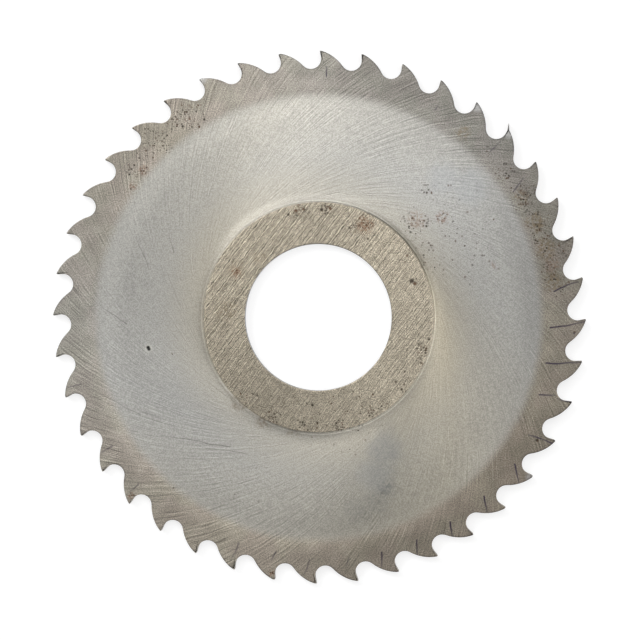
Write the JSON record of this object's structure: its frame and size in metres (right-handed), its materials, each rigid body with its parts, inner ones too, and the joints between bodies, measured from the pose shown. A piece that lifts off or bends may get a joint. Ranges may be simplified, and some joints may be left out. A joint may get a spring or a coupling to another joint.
{
  "type": "circular saw blade",
  "caption": "Flat metal-slitting circular saw blade: hooked teeth round the rim, hollow-ground web, raised clamping hub and a plain round bore.",
  "frame": {"origin": "centre of the bore at the middle of the blade's thickness", "axes": "+Z along the bore axis, out of the front face; one tooth tip lies on +X; the teeth cut counter-clockwise as seen from +Z; the blade lies flat on its back face"},
  "size_m": [0.08, 0.08, 0.002],
  "materials": {
    "ground_steel": "ground, hardened tool steel with light staining and fine grinding lines"
  },
  "bodies": {
    "root": {"saw_blade": "ground_steel"}
  },
  "joints": []
}
